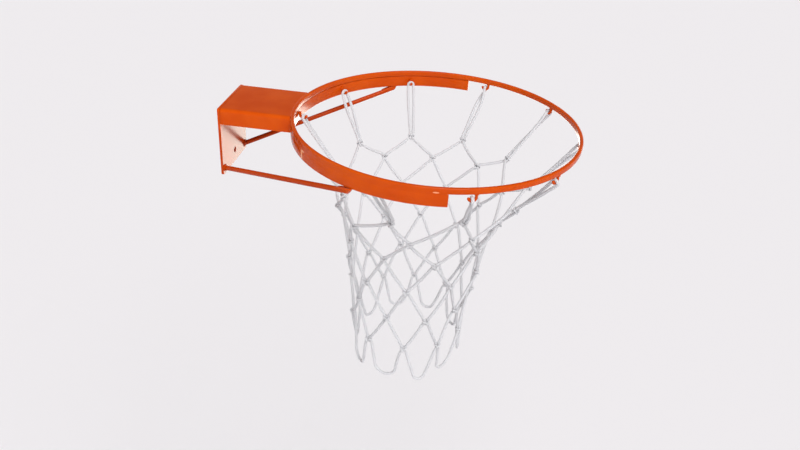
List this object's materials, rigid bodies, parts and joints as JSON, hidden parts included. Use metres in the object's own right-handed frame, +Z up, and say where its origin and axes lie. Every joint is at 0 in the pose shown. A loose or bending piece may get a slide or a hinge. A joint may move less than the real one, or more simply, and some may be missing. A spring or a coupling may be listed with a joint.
{
  "type": "basketball hoop",
  "caption": "Wall-mounted basketball hoop: a painted steel ring on a folded bracket with rod braces, net hooks and a knotted cord net.",
  "frame": {"origin": "middle of the back plate's rear face, which lies against the wall or board", "axes": "+Y points into the wall, +Z up; the ring stands out towards -Y and +X is to its right when facing the wall"},
  "size_m": [0.462, 0.5777, 0.4509],
  "materials": {
    "orange_paint": "glossy powder coat",
    "net_cord": "braided synthetic cord"
  },
  "bodies": {
    "root": {"back_plate": "orange_paint", "top_plate": "orange_paint", "ring": "orange_paint", "reinforcing_band": "orange_paint", "left_brace": "orange_paint", "right_brace": "orange_paint", "net_hook_01": "orange_paint", "net_hook_02": "orange_paint", "net_hook_03": "orange_paint", "net_hook_04": "orange_paint", "net_hook_05": "orange_paint", "net_hook_06": "orange_paint", "net_hook_07": "orange_paint", "net_hook_08": "orange_paint", "net_hook_09": "orange_paint", "net_hook_10": "orange_paint", "net_loop_01": "net_cord", "net_loop_02": "net_cord", "net_loop_03": "net_cord", "net_loop_04": "net_cord", "net_loop_05": "net_cord", "net_loop_06": "net_cord", "net_loop_07": "net_cord", "net_loop_08": "net_cord", "net_loop_09": "net_cord", "net_loop_10": "net_cord", "net_mesh": "net_cord"}
  },
  "joints": []
}
